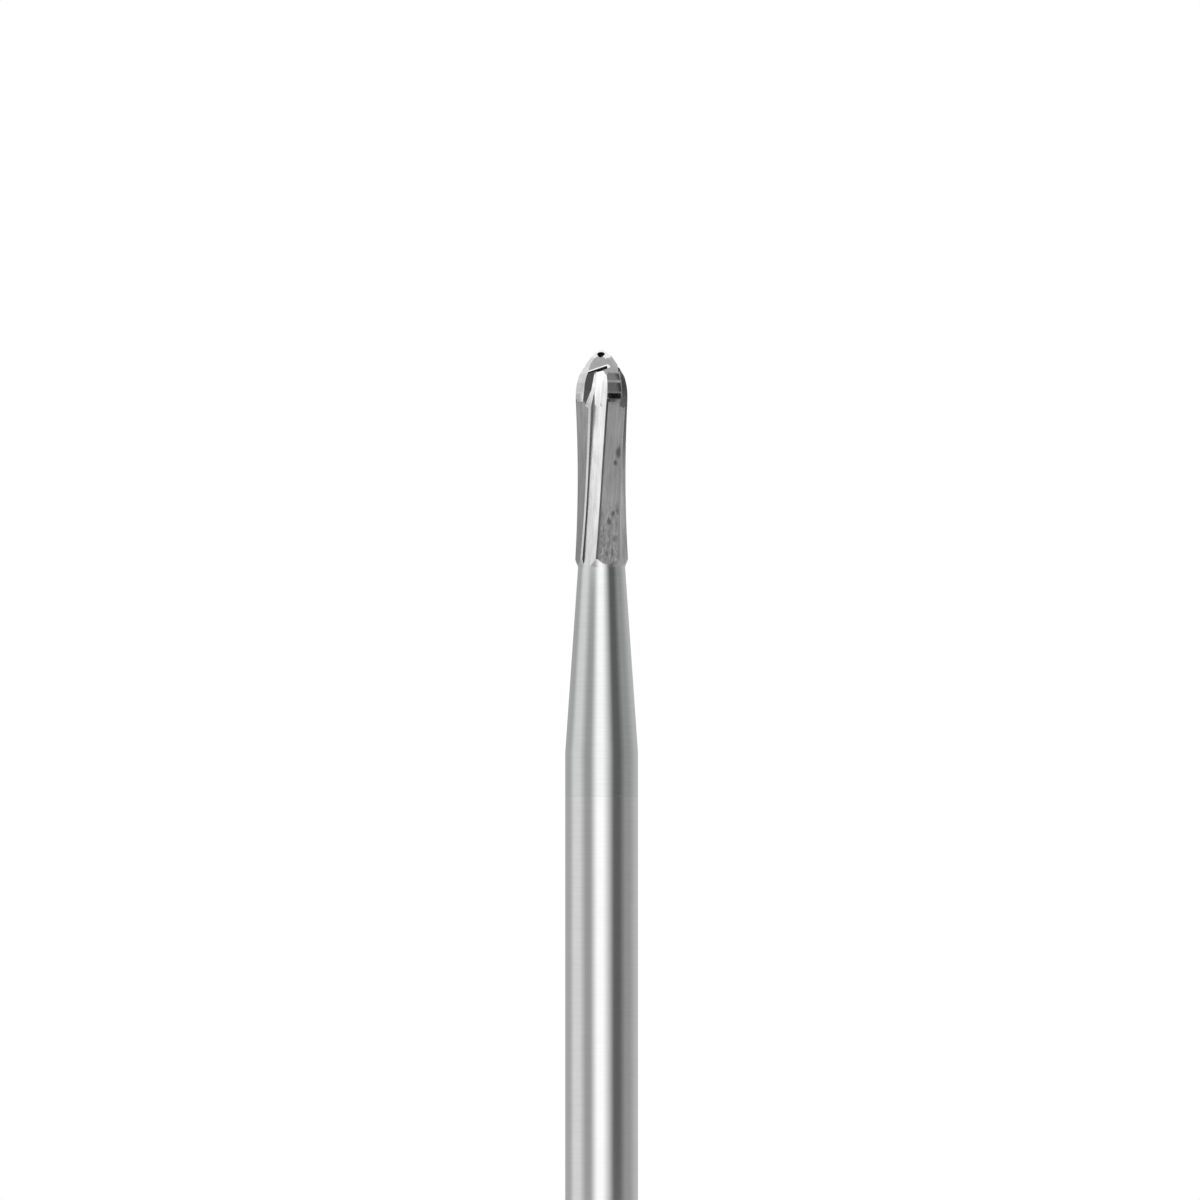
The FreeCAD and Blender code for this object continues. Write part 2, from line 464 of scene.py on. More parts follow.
@dataclass(frozen=True)
class Grain:
    """Noise for a finish: its grains per millimetre, the levels it is taken between, its octaves."""

    across: float
    along: float
    low: float = 0.35
    high: float = 0.65
    detail: float = 3.0

    def on(self, bench: NodeBench, place: bpy.types.NodeSocket) -> bpy.types.NodeSocket:
        """The bare noise at a place."""
        return bench.noise(place, self.across, self.along, self.detail)

    def eased(
        self, bench: NodeBench, place: bpy.types.NodeSocket, start: float = 0.0, end: float = 1.0
    ) -> bpy.types.NodeSocket:
        """The noise, carried smoothly from its own ends onto others.

        Args:
            bench: The material's nodes.
            place: Point in millimetres.
            start: The result where the noise is low.
            end: The result where it is high.

        Returns:
            The result.
        """
        return bench.ramp(self.on(bench, place), self.low, self.high, start, end)


@dataclass(frozen=True)
class Stain:
    """A dark patch of ground-in dirt. Its width and length are half sizes, with soft edges."""

    bearing: float
    height: float
    width: float
    length: float


@dataclass(frozen=True)
class GroundFinish:
    """Bare metal as a grinding wheel leaves it.

    tone is the share of light that it returns. across and along are its fine lines per millimetre,
    depth is how far they darken the metal, relief their height in millimetres, and patchiness how
    far wider clouds darken and roughen it. Dark patches cover it where stains lists them, at radius
    from the axis. It may also get darker and rougher lower down: one height where that is strongest,
    one where it ends, and how strong it gets. The last values are the same for all finishes.
    """

    name: str
    tone: float
    roughness: float
    across: float
    along: float
    depth: float
    relief: float
    patchiness: float = 0.0
    tint: tuple[float, float, float] = (1.0, 1.0, 1.0)
    lead: float | None = None
    stains: tuple[Stain, ...] = ()
    stain_tone: float = 0.2
    radius: float = 0.5
    metallic: float = 1.0
    dulled: tuple[float, float, float] | None = None
    line_ends: tuple[float, float] = (0.32, 0.68)
    clouds: Grain = Grain(3.1, 1.3, detail=2.0)
    mottle: Grain = Grain(24, 11)
    mottle_ends: tuple[float, float] = (0.6, 1.4)
    fray: Grain = Grain(13, 6)
    fray_depth: float = 1.1
    stain_edge: tuple[float, float] = (0.75, 1.5)
    shaded_share: float = 0.35
    rougher_in_shade: float = 0.22
    rougher_in_stain: float = 0.12

    def stain_mask(self, bench: NodeBench, place: bpy.types.NodeSocket) -> bpy.types.NodeSocket:
        """How deep in a stain each point lies, with edges frayed by noise.

        Args:
            bench: The material's nodes.
            place: Point in millimetres.

        Returns:
            A socket from 0, clean, to 1, stained.
        """
        fray = bench.math("MULTIPLY", self.fray.on(bench, place), self.fray_depth)
        deepest: object = 0.0
        for stain in self.stains:
            untwisted = stain.bearing + CAMERA_SIDE
            if self.lead:
                untwisted -= FULL_TURN * stain.height / self.lead
            turn = math.radians(untwisted)
            middle = (self.radius * math.cos(turn), self.radius * math.sin(turn), stain.height)
            away = bench.add("ShaderNodeVectorMath", operation="SUBTRACT")
            bench.feed(away.inputs[0], place)
            away.inputs[1].default_value = middle
            shape = bench.add("ShaderNodeVectorMath", operation="MULTIPLY")
            bench.feed(shape.inputs[0], away.outputs[0])
            shape.inputs[1].default_value = (1 / stain.width, 1 / stain.width, 1 / stain.length)
            reach = bench.add("ShaderNodeVectorMath", operation="LENGTH")
            bench.feed(reach.inputs[0], shape.outputs[0])
            frayed = bench.math("ADD", reach.outputs["Value"], fray)
            deepest = bench.math("MAXIMUM", bench.ramp(frayed, *self.stain_edge, 1.0, 0.0), deepest)
        return deepest

    def low_darkening(self, bench: NodeBench, place: bpy.types.NodeSocket) -> bpy.types.NodeSocket:
        """How much darker and rougher the metal gets lower down, in mottled clouds.

        Args:
            bench: The material's nodes.
            place: Point in millimetres.

        Returns:
            A socket with the extra shade.
        """
        dullest, clean, share = self.dulled
        height = bench.add("ShaderNodeSeparateXYZ")
        bench.feed(height.inputs[0], place)
        fade = bench.ramp(height.outputs["Z"], dullest, clean, share, 0.0)
        return bench.math("MULTIPLY", fade, self.mottle.eased(bench, place, *self.mottle_ends))

    def material(self) -> bpy.types.Material:
        """Lay the finish out in nodes.

        Returns:
            The material.
        """
        bench = NodeBench(bpy.data.materials.new(self.name))
        place = bench.place(self.lead)
        lines = Grain(self.across, self.along, *self.line_ends).eased(bench, place)
        clouds = self.clouds.eased(bench, place)
        shade = bench.math(
            "ADD",
            bench.math("MULTIPLY", lines, self.depth),
            bench.math("MULTIPLY", clouds, self.patchiness),
        )
        if self.dulled:
            shade = bench.math("ADD", shade, self.low_darkening(bench, place))
        shaded = grey(self.tone * self.shaded_share, self.tint)
        colour = bench.blend(shade, grey(self.tone, self.tint), shaded)
        rough = bench.math("ADD", self.roughness, bench.math("MULTIPLY", shade, self.rougher_in_shade))
        if self.stains:
            stained = self.stain_mask(bench, place)
            colour = bench.blend(stained, colour, grey(self.stain_tone, self.tint))
            rough = bench.math("ADD", rough, bench.math("MULTIPLY", stained, self.rougher_in_stain))
        bump = bench.add("ShaderNodeBump")
        bump.inputs["Distance"].default_value = self.relief * METRES_PER_MM
        bench.feed(bump.inputs["Height"], lines)
        metal = bench.add("ShaderNodeBsdfPrincipled")
        metal.inputs["Metallic"].default_value = self.metallic
        bench.feed(metal.inputs["Base Color"], colour)
        bench.feed(metal.inputs["Roughness"], rough)
        bench.feed(metal.inputs["Normal"], bump.outputs[0])
        return bench.close(metal.outputs[0])


class BurPiece:
    """What the two pieces of the bur share: how a finished mesh takes its node's place."""

    name: str
    node: str
    slot: str

    def seat(self, piece: bpy.types.Object) -> bpy.types.Object:
        """Let a finished piece stand for its node, on the one body of the bur.

        Args:
            piece: The finished piece.

        Returns:
            The same piece.
        """
        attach(piece, "root")
        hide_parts(self.node)
        return piece


@dataclass
class SteelShank(BurPiece):
    """The plain ground bar that the chuck grips, chamfered at its free end."""

    name: str = "ground_shank"
    node: str = "steel_shank"
    slot: str = "shank_steel"
    end_chamfer: float = 0.1
    joint_chamfer: float = 0.005
    bar_rings: int = 24
    segments: int = 256
    sharp_angle: float = 20.0

    def finishes(self) -> list[bpy.types.Material]:
        """The shank's finishes.

        Returns:
            One material for each surface, in slot order.
        """
        bar = GroundFinish(
            "shank_centreless_ground", tone=0.86, roughness=0.15, across=1.2, along=34, depth=0.05,
            relief=0.00012, patchiness=0.03,
        )
        end = GroundFinish(
            "shank_end_turned", tone=0.72, roughness=0.26, across=26, along=26, depth=0.16,
            relief=0.0003, patchiness=0.08,
        )
        return [bar.material(), end.material()]

    def outline(self) -> list[tuple[float, float, Enum]]:
        """The shank's outline, from the free end to the joint.

        Returns:
            Radius, height and the surface above each point.
        """
        low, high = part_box(self.node)
        radius = high.x / METRES_PER_MM
        bottom = low.z / METRES_PER_MM
        top = high.z / METRES_PER_MM
        bar = spread(bottom + self.end_chamfer, top - self.joint_chamfer, self.bar_rings)
        return [
            (radius - self.end_chamfer, bottom, ShankSurface.BAR),
            *((radius, height, ShankSurface.BAR) for height in bar),
            (radius - self.joint_chamfer, top, ShankSurface.END),
        ]

    def build(self) -> bpy.types.Object:
        """Turn the bar and seat it.

        Returns:
            The finished shank.
        """
        solid = turned_solid(self.outline(), self.segments, ShankSurface.END)
        work = Carving(self.name, solid.mesh(self.name, self.finishes()))
        return self.seat(work.finished(self.sharp_angle))


@dataclass(frozen=True)
class GashSection:
    """One section of a tip gash: where the foot of its wall and the end of its floor stand.

    drop is the distance below the end of the flute. wall_turn is measured back from the cutting
    edge, and the floor ends just past that edge.
    """

    drop: float
    wall_radius: float
    wall_turn: float
    floor_radius: float


@dataclass(frozen=True)
class Chip:
    """A small chip or pit: its bearing, its drop below the apex and its distance from the axis.

    size gives its half lengths outwards, across and along the axis. lump_depth and lump_waves say
    how uneven it is.
    """

    bearing: float
    drop: float
    radius: float
    size: tuple[float, float, float]
    surface: HeadSurface
    lump_depth: float = 0.14
    lump_waves: tuple[float, float, float] = (5.0, 4.0, 3.0)
    subdivisions: int = 3

    def lump(self, point: Vector) -> float:
        """How far the chip reaches at a point of a unit ball, as a share of its size.

        Args:
            point: The point on the ball.

        Returns:
            The share.
        """
        outwards, across, along = self.lump_waves
        wave = self.lump_depth * math.sin(outwards * point.x + along * point.z)
        return 1 + wave * math.cos(across * point.y)


@dataclass(frozen=True)
class Band:
    """A stretch of the turned blank: its two heights, its rings of the mesh and its surface."""

    start: float
    end: float
    rings: int
    surface: HeadSurface


@dataclass
class FlutedHead(BurPiece):
    """The carbide head, neck and stub, ground from one blank."""

    name: str = "fluted_head_and_neck"
    node: str = "carbide_head_and_neck"
    slot: str = "ground_carbide"
    joint_chamfer: float = 0.005
    stub_length: float = 0.95
    neck_length: float = 4.08
    neck_tip_diameter: float = 1.035
    shoulder_height: float = 0.17
    rim_diameter: float = 1.17
    waist_diameter: float = 1.06
    waist_height: float = 2.45
    crown_diameter: float = 1.16
    crown_length: float = 0.97
    collar_height: float = 0.11
    apex_diameter: float = 0.06
    blade_count: int = 4
    helix_lead: float = 53.0
    index_angle: float = 222.0
    flute_angle: float = 34.0
    core_base_diameter: float = 1.03
    core_tip_diameter: float = 0.7
    flute_runout: float = 0.25
    flute_end_drop: float = 0.43
    flute_end_tilt: float = 20.0
    flute_tilt_length: float = 0.47
    flute_floor_share: float = 0.5
    flute_floor_lift: float = 0.3
    edge_margin: float = 6.0
    heel_margin: float = 4.5
    heel_slack: float = 3.0
    flat_end_drop: float = 1.143
    flat_cutter_half: float = 0.45
    gash_sections: tuple[GashSection, ...] = (
        GashSection(0.91, 0.57, 28.3, 0.645),
        GashSection(0.45, 0.439, 12.5, 0.421),
        GashSection(0.0, 0.341, 6.6, 0.36),
    )
    gash_wall_swing: float = 52.0
    gash_floor_lead: float = 0.018
    facet_advance: float = 9.0
    facet_reach: float = 0.126
    facet_slope: float = 31.0
    facet_overrun: float = 0.05
    ledge_land: float = 0.033
    ledge_lean: float = 10.0
    ledge_cut: tuple[float, float] = (-0.04, 0.12)
    corner_height: float = 0.07
    groove_ends: tuple[float, float, float] = (0.345, 0.25, 0.235)
    chips: tuple[Chip, ...] = (
        # The pit at the tip is painted near-black as the shade inside it.
        Chip(-6.0, 0.11, 0.15, (0.09, 0.088, 0.085), HeadSurface.PAINTED_SHADE),
        Chip(91.0, 2.07, 0.56, (0.06, 0.075, 0.05), HeadSurface.BREAK),
    )
    segments: int = 288
    flute_rings: int = 90
    flute_back_strips: int = 8
    flat_rings: int = 80
    gash_rings: int = 16
    reach: float = 1.6
    sharp_angle: float = 20.0

    def __post_init__(self) -> None:
        """Take the piece's place and width from the frame."""
        low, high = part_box(self.node)
        self.shank_radius = high.x / METRES_PER_MM
        self.joint = low.z / METRES_PER_MM
        self.apex = high.z / METRES_PER_MM
        self.neck_start = self.joint + self.stub_length
        self.head_base = self.neck_start + self.neck_length
        self.rim = self.head_base + self.shoulder_height
        self.waist = self.head_base + self.waist_height
        self.crown = self.apex - self.crown_length
        self.flute_end = self.apex - self.flute_end_drop
        self.flat_end = self.apex - self.flat_end_drop
        self.collar = self.crown - self.collar_height
        self.body_arc = Arc(
            (self.rim_diameter / 2, self.rim),
            (self.waist_diameter / 2, self.waist),
            (self.crown_diameter / 2, self.collar),
        )

    def finishes(self) -> list[bpy.types.Material]:
        """The head's finishes.

        Returns:
            One material for each surface, in slot order.
        """
        lead = self.helix_lead
        neck = GroundFinish(
            "neck_polished", tone=0.83, roughness=0.15, across=1.4, along=30, depth=0.06,
            relief=0.00012, patchiness=0.03, tint=(0.985, 1.0, 1.0),
        )
        margin = GroundFinish(
            "blade_margin", tone=0.86, roughness=0.16, across=7, along=20, depth=0.12,
            relief=0.0002, patchiness=0.1,
        )
        crown = GroundFinish(
            "crown_ground", tone=0.9, roughness=0.06, across=9, along=9, depth=0.16,
            relief=0.0002, patchiness=0.1,
        )
        # The satin lands get darker and rougher lower down, in mottled clouds.
        land = GroundFinish(
            "blade_land_satin", tone=0.9, roughness=0.38, across=17, along=1.7, depth=0.3,
            relief=0.0006, patchiness=0.2, lead=lead, metallic=0.7, dulled=(16.8, 18.6, 0.5),
            stains=self.land_stains(), stain_tone=0.22, radius=0.5,
        )
        flute = GroundFinish(
            "flute_bright", tone=0.98, roughness=0.2, across=17, along=2.4, depth=0.2,
            relief=0.0004, patchiness=0.12, lead=lead,
        )
        # The rake faces are the same ground carbide, painted near-black as shade.
        rake = GroundFinish(
            "rake_painted_shade", tone=0.13, roughness=0.3, across=19, along=1.5, depth=0.35,
            relief=0.0005, patchiness=0.1, lead=lead,
        )
        gash_floor = GroundFinish(
            "gash_floor", tone=0.86, roughness=0.24, across=18, along=6, depth=0.35,
            relief=0.0005, patchiness=0.2,
        )
        # Near-black painted shade for the corners and steps under the ledge, the cutters' end walls and
        # the pit at the tip.
        corner = GroundFinish(
            "corner_painted_shade", tone=0.03, roughness=0.5, across=12, along=12, depth=0.2,
            relief=0.0004,
        )
        fracture = GroundFinish(
            "fresh_break", tone=0.5, roughness=0.45, across=20, along=20, depth=0.3, relief=0.001,
        )
        # The heels are the same ground carbide as the margins, painted near-black as shade.
        heel = GroundFinish(
            "heel_painted_shade", tone=0.13, roughness=0.3, across=9, along=5, depth=0.3, relief=0.0003,
        )
        # The gash walls are the same ground carbide, painted darker as shade.
        gash = GroundFinish(
            "gash_wall_painted_shade", tone=0.42, roughness=0.24, across=16, along=5, depth=0.3, relief=0.0005,
        )
        # One land, the same satin carbide, painted darker as shade.
        dull = GroundFinish(
            "blade_land_painted_shade", tone=0.52, roughness=0.4, across=17, along=1.7, depth=0.3,
            relief=0.0006, patchiness=0.16, lead=lead,
        )
        order = [
            neck, margin, crown, land, flute, rake, gash_floor, corner, fracture, heel, gash, dull,
        ]
        return [finish.material() for finish in order]

    def land_stains(self) -> tuple[Stain, ...]:
        """Dark patches on the front right land, where the photograph shows them.

        Returns:
            The patches, from the tip down.
        """
        return (
            Stain(48.0, 18.76, 0.10, 0.20),
            Stain(38.0, 18.52, 0.07, 0.10),
            Stain(57.0, 18.03, 0.10, 0.36),
            Stain(47.0, 17.48, 0.12, 0.18),
            Stain(30.0, 17.40, 0.08, 0.12),
            Stain(18.0, 17.22, 0.07, 0.12),
            Stain(36.0, 16.85, 0.10, 0.14),
            Stain(27.0, 16.55, 0.08, 0.11),
            Stain(12.0, 16.52, 0.08, 0.10),
        )

    def blank_radius(self, height: float) -> float:
        """Radius of the turned blank.

        Args:
            height: Height on the axis.

        Returns:
            The radius there.
        """
        neck_tip = self.neck_tip_diameter / 2
        if height <= self.neck_start:
            return self.shank_radius
        if height <= self.head_base:
            share = (height - self.neck_start) / self.neck_length
            return between(self.shank_radius, neck_tip, share)
        if height <= self.rim:
            share = (height - self.head_base) / self.shoulder_height
            return between(neck_tip, self.rim_diameter / 2, share)
        if height <= self.collar:
            return self.body_arc.radius_at(height)
        if height <= self.crown:
            return self.crown_diameter / 2
        step = (self.crown_diameter - self.apex_diameter) / 2
        arc = (step**2 + self.crown_length**2) / (2 * step)
        return math.sqrt(arc**2 - (height - self.crown) ** 2) - arc + self.crown_diameter / 2

    def edge_turn(self, height: float) -> float:
        """Turn of the first cutting edge at a height, along its right-hand helix."""
        return self.index_angle + FULL_TURN * (height - self.head_base) / self.helix_lead

    def core_radius(self, height: float) -> float:
        """Radius at the root of the flutes. It flares at the base, where they run out.

        Args:
            height: Height on the axis.

        Returns:
            The radius there.
        """
        share = (height - self.head_base) / (self.flute_end - self.head_base)
        core = between(self.core_base_diameter, self.core_tip_diameter, share) / 2
        start = self.head_base - self.flute_runout
        if height >= self.rim:
            return core
        left = (self.rim - height) / (self.rim - start)
        return between(core, self.blank_radius(start), left)

    def outline(self) -> list[tuple[float, float, Enum]]:
        """The blank's outline, from the joint to the apex.

        Returns:
            Radius, height and the surface above each point.
        """
        stub_start = self.joint + self.joint_chamfer
        bands = [
            Band(stub_start, self.neck_start, rings=4, surface=HeadSurface.NECK),
            Band(self.neck_start, self.head_base, rings=16, surface=HeadSurface.NECK),
            Band(self.head_base, self.rim, rings=5, surface=HeadSurface.MARGIN),
            Band(self.rim, self.collar, rings=72, surface=HeadSurface.MARGIN),
            Band(self.collar, self.crown, rings=4, surface=HeadSurface.CROWN),
            Band(self.crown, self.apex, rings=40, surface=HeadSurface.CROWN),
        ]
        points = [(self.shank_radius - self.joint_chamfer, self.joint, HeadSurface.NECK)]
        for band in bands:
            for height in spread(band.start, band.end, band.rings)[:-1]:
                points.append((self.blank_radius(height), height, band.surface))
        points.append((self.apex_diameter / 2, self.apex, HeadSurface.CROWN))
        return points

    def ledge_surfaces(
        self, last: int, wall: HeadSurface, floor: HeadSurface
    ) -> Callable[[int, int], HeadSurface]:
        """How the faces of a cutter that ends under the ledge are told apart.

        Args:
            last: Number of its highest row of faces, the corner under the ledge, painted near-black as
                shade.
            wall: Surface of the first face of each lower row.
            floor: Surface of the other faces.

        Returns:
            A function from the row's number and the side's number to the surface.
        """

        def surface_of(level: int, side: int) -> HeadSurface:
            """The surface of one face of the cutter."""
            lower = wall if side == 0 else floor
            return HeadSurface.PAINTED_SHADE if level == last else lower

        return surface_of

    def flute_cutter(self, blade: int) -> Solid:
        """One flute: an upright rake face down to the core and a long face up to the next heel.

        Args:
            blade: Number of the blade.

        Returns:
            The cutter.
        """
        strips = self.flute_back_strips
        start = self.head_base - self.flute_runout
        tilt_start = self.flute_end - self.flute_tilt_length
        lower = spread(start, self.flute_end - self.corner_height, self.flute_rings)
        heights = [*lower, self.flute_end]
        heel = math.radians(self.flute_angle)
        rings = []
        for height in heights:
            rise = max(0.0, (height - tilt_start) / self.flute_tilt_length)
            turn = self.edge_turn(height) + self.blade_turn(blade)
            place = turned_place(height, turn, self.flute_end_tilt * rise**2)
            rim = self.blank_radius(height) if height > self.rim else self.rim_diameter / 2
            root = Vector((self.core_radius(height), 0, 0))
            far = Vector((2 * rim * math.cos(heel) - root.x, 2 * rim * math.sin(heel), 0))
            floor_end = root.lerp(far, self.flute_floor_share / 2)
            back = [far.lerp(floor_end, step / strips) for step in range(strips)]
            foot = root + Vector((self.flute_floor_lift * max(0.0, rim - root.x), 0, 0))
            edge = Vector((self.reach, 0, 0))
            corners = [foot, edge, Vector((self.reach, far.y, 0)), *back, floor_end]
            rings.append([place @ corner for corner in corners])
        surface_of = self.ledge_surfaces(len(rings) - 2, HeadSurface.RAKE, HeadSurface.FLUTE)
        return lofted(rings, surface_of, HeadSurface.PAINTED_SHADE)

    def flat_cutter(self, blade: int) -> Solid:
        """One blade's flat, which leaves a narrow round margin beside the edge and at the heel.

        Args:
            blade: Number of the blade.

        Returns:
            The cutter.
        """
        land = FULL_TURN / self.blade_count - self.flute_angle
        half = (land - self.edge_margin - self.heel_margin) / 2
        middle = self.flute_angle + self.heel_margin + half
        start = self.head_base - self.shoulder_height
        rings = []
        for height in spread(start, self.flat_end, self.flat_rings):
            radius = self.blank_radius(height) if height > self.rim else self.rim_diameter / 2
            depth = radius * math.cos(math.radians(half))
            turn = self.edge_turn(height) + middle + self.blade_turn(blade)
            rings.append(self.slab_ring(turned_place(height, turn), self.flat_cutter_half, depth))
        return lofted(rings, lambda level, side: HeadSurface.LAND, HeadSurface.PAINTED_SHADE)

    def slab_ring(
        self, place: Matrix, half: float, depth: float, slant: float = 0.0, rise: float = 0.0
    ) -> list[Vector]:
        """The outline of one section of a flat-faced cutter.

        Args:
            place: Placement of the section.
            half: Half its width.
            depth: Distance of its face from the axis, in the middle.
            slant: How much further out the face starts than its middle.
            rise: Height of the section in its placement.

        Returns:
            Four corners.
        """
        near, far = (depth + slant, -half), (depth - slant, half)
        corners = [near, (self.reach, -half), (self.reach, half), far]
        return [place @ Vector((x, y, rise)) for x, y in corners]

    def gash_ring(self, section: GashSection, blade: int) -> list[Vector]:
        """The outline of one section of a tip gash.

        Args:
            section: Where the wall and the floor stand.
            blade: Number of the blade.

        Returns:
            Four corners: the foot of the wall, its far end, the far side and the end of the floor.
        """
        tilt = 0.0 if section.drop else self.flute_end_tilt
        turn = self.edge_turn(self.flute_end) + self.blade_turn(blade)
        place = turned_place(self.flute_end - section.drop, turn, tilt)
        wall = turned_place(0, -section.wall_turn) @ Vector((section.wall_radius, 0, 0))
        floor = Vector((section.floor_radius, self.gash_floor_lead, 0))
        wall_end = wall + turned_place(0, -self.gash_wall_swing) @ Vector((self.reach, 0, 0))
        far_side = floor + Vector((self.reach, 0, 0))
        return [place @ corner for corner in (wall, wall_end, far_side, floor)]

    def gash_cutter(self, blade: int) -> Solid:
        """One gash at the tip: a steep wall and a floor that runs out through the blade behind.

        Args:
            blade: Number of the blade.

        Returns:
            The cutter.
        """
        sections = [self.gash_ring(section, blade) for section in self.gash_sections]
        rings = []
        for low_ring, high_ring in zip(sections, sections[1:]):
            for share in spread(0, 1, self.gash_rings)[:-1]:
                rings.append([low.lerp(high, share) for low, high in zip(low_ring, high_ring)])
        corner_share = 1 - self.corner_height / self.gash_sections[-2].drop
        upper_pair = zip(sections[-2], sections[-1])
        rings.append([low.lerp(high, corner_share) for low, high in upper_pair])
        rings.append(sections[-1])
        rings.sort(key=lambda ring: ring[0].z)
        surface_of = self.ledge_surfaces(len(rings) - 2, HeadSurface.GASH, HeadSurface.GASH_FLOOR)
        return lofted(rings, surface_of, HeadSurface.PAINTED_SHADE)

    def groove_cutter(self, blade: int) -> Solid:
        """The sharp corner that the wheel leaves right under the ledge, a little past the heel, painted
        near-black as shade.

        Args:
            blade: Number of the blade.

        Returns:
            The cutter.
        """
        turn = self.edge_turn(self.flute_end) + self.blade_turn(blade)
        place = turned_place(self.flute_end, turn, self.flute_end_tilt)
        near_x, far_x, far_y = self.groove_ends
        corners = [(near_x, 0.0), (self.reach, 0.0), (self.reach, far_y), (far_x, far_y)]
        rings = [
            [place @ Vector((x, y, -drop)) for x, y in corners]
            for drop in (self.corner_height, 0.0)
        ]
        return lofted(rings, lambda level, side: HeadSurface.PAINTED_SHADE, HeadSurface.PAINTED_SHADE)

    def ledge_cutter(self, blade: int) -> Solid:
        """The narrow land along the ledge, between the crown facet and the end of the flute.

        Args:
            blade: Number of the blade.

        Returns:
            The cutter.
        """
        turn = self.edge_turn(self.flute_end) + self.facet_advance + self.blade_turn(blade)
        slope = math.tan(math.radians(self.facet_slope))
        lean = math.tan(math.radians(self.ledge_lean))
        tilt = math.radians(self.flute_end_tilt)
        half = self.crown_diameter / 3
        slant = slope * math.sin(tilt) * half
        depth = self.facet_reach + self.flute_end_drop * slope - self.ledge_land * (slope - lean)
        place = turned_place(self.flute_end, turn, self.flute_end_tilt)
        rings = [
            self.slab_ring(place, half, depth - rise * lean, slant, rise) for rise in self.ledge_cut
        ]
        return lofted(rings, lambda level, side: HeadSurface.MARGIN, HeadSurface.PAINTED_SHADE)

    def facet_cutter(self, blade: int) -> Solid:
        """One flat facet of the crown, over the end of a flute.

        Args:
            blade: Number of the blade.

        Returns:
            The cutter.
        """
        turn = self.edge_turn(self.flute_end) + self.facet_advance + self.blade_turn(blade)
        half = self.crown_diameter / 2
        slope = math.tan(math.radians(self.facet_slope))
        rings = []
        for drop in (self.crown_length, -self.facet_overrun):
            place = turned_place(self.apex - drop, turn)
            rings.append(self.slab_ring(place, half, self.facet_reach + drop * slope))
        return lofted(rings, lambda level, side: HeadSurface.CROWN, HeadSurface.CROWN)

    def chip_cutter(
        self, chip: Chip, materials: Sequence[bpy.types.Material]
    ) -> bpy.types.Mesh:
        """A small chip or pit, as a lumpy ellipsoid.

        Args:
            chip: Where it is and how large.
            materials: The head's materials in slot order.

        Returns:
            The closed cutter.
        """
        height = self.apex - chip.drop
        place = turned_place(height, chip.bearing + CAMERA_SIDE)
        work = bmesh.new()
        bmesh.ops.create_icosphere(work, subdivisions=chip.subdivisions, radius=1.0)
        for vertex in work.verts:
            uneven = vertex.co * chip.lump(vertex.co)
            local = Vector(share * size for share, size in zip(uneven, chip.size))
            vertex.co = place @ (local + Vector((chip.radius, 0, 0)))
        for face in work.faces:
            face.material_index = chip.surface.value
        mesh = bpy.data.meshes.new("chip")
        work.to_mesh(mesh)
        work.free()
        for material in materials:
            mesh.materials.append(material)
        return mesh

    def blade_turn(self, blade: int) -> float:
        """How far a blade is turned from the first."""
        return FULL_TURN / self.blade_count * blade

    def build(self) -> bpy.types.Object:
        """Turn the blank, grind every blade, break the chips out and seat the piece.

        Returns:
            The finished head and neck.
        """
        materials = self.finishes()
        blank = turned_solid(self.outline(), self.segments, HeadSurface.PAINTED_SHADE)
        work = Carving(self.name, blank.mesh(self.name, materials))
        cutters = (
            self.flat_cutter, self.facet_cutter, self.ledge_cutter,
            self.flute_cutter, self.gash_cutter, self.groove_cutter,
        )
        for make in cutters:
            for blade in range(self.blade_count):
                work.cut(make(blade).mesh("cutter", materials))
        for chip in self.chips:
            work.cut(self.chip_cutter(chip, materials))
        self.sort_lands(work.piece.data)
        return self.seat(work.finished(self.sharp_angle))

    def sort_lands(self, mesh: bpy.types.Mesh) -> None:
        """Tell the narrow heels, painted near-black as shade, from the other margins, and the one land
        painted darker as shade from the rest.

        Args:
            mesh: The carved head, in millimetres.
        """
        pitch = FULL_TURN / self.blade_count
        heel_end = self.flute_angle + self.heel_margin + self.heel_slack
        for face in mesh.polygons:
            centre = face.center
            if not self.head_base < centre.z < self.crown:
                continue
            turn = math.degrees(math.atan2(centre.y, centre.x)) - self.edge_turn(centre.z)
            on_margin = face.material_index == HeadSurface.MARGIN.value and centre.z > self.rim
            if on_margin and turn % pitch < heel_end:
                face.material_index = HeadSurface.HEEL.value
            left = turn % FULL_TURN > FULL_TURN - pitch
            if face.material_index == HeadSurface.LAND.value and left:
                face.material_index = HeadSurface.SHADED_LAND.value


@dataclass(frozen=True)
class Card:
    """A reflector that spans some bearings round the bur. Bearing 0 is the camera's side."""

    name: str
    start: float
    end: float
    tone: float


@dataclass(frozen=True)
class CardRow:
    """A row of reflectors whose tones fade into each other across the gaps.

    bottom and top are the heights on the bur that mirror the row's two edges towards the camera.
    A gap counts as at least least_gap wide.
    """

    name: str
    bottom: float
    top: float
    cards: tuple[Card, ...]
    least_gap: float = 1e-6

    def tone_at(self, bearing: float) -> float:
        """The row's tone, between the two cards beside a bearing.

        Args:
            bearing: The bearing, from -180 to 180.

        Returns:
            The tone there.
        """
        corners = [(end, card.tone) for card in self.cards for end in (card.start, card.end)]
        first, last = corners[0], corners[-1]
        corners = [(last[0] - FULL_TURN, last[1]), *corners, (first[0] + FULL_TURN, first[1])]
        for (left, left_tone), (right, right_tone) in zip(corners, corners[1:]):
            if left <= bearing <= right:
                gap = max(right - left, self.least_gap)
                return between(left_tone, right_tone, (bearing - left) / gap)
        return first[1]


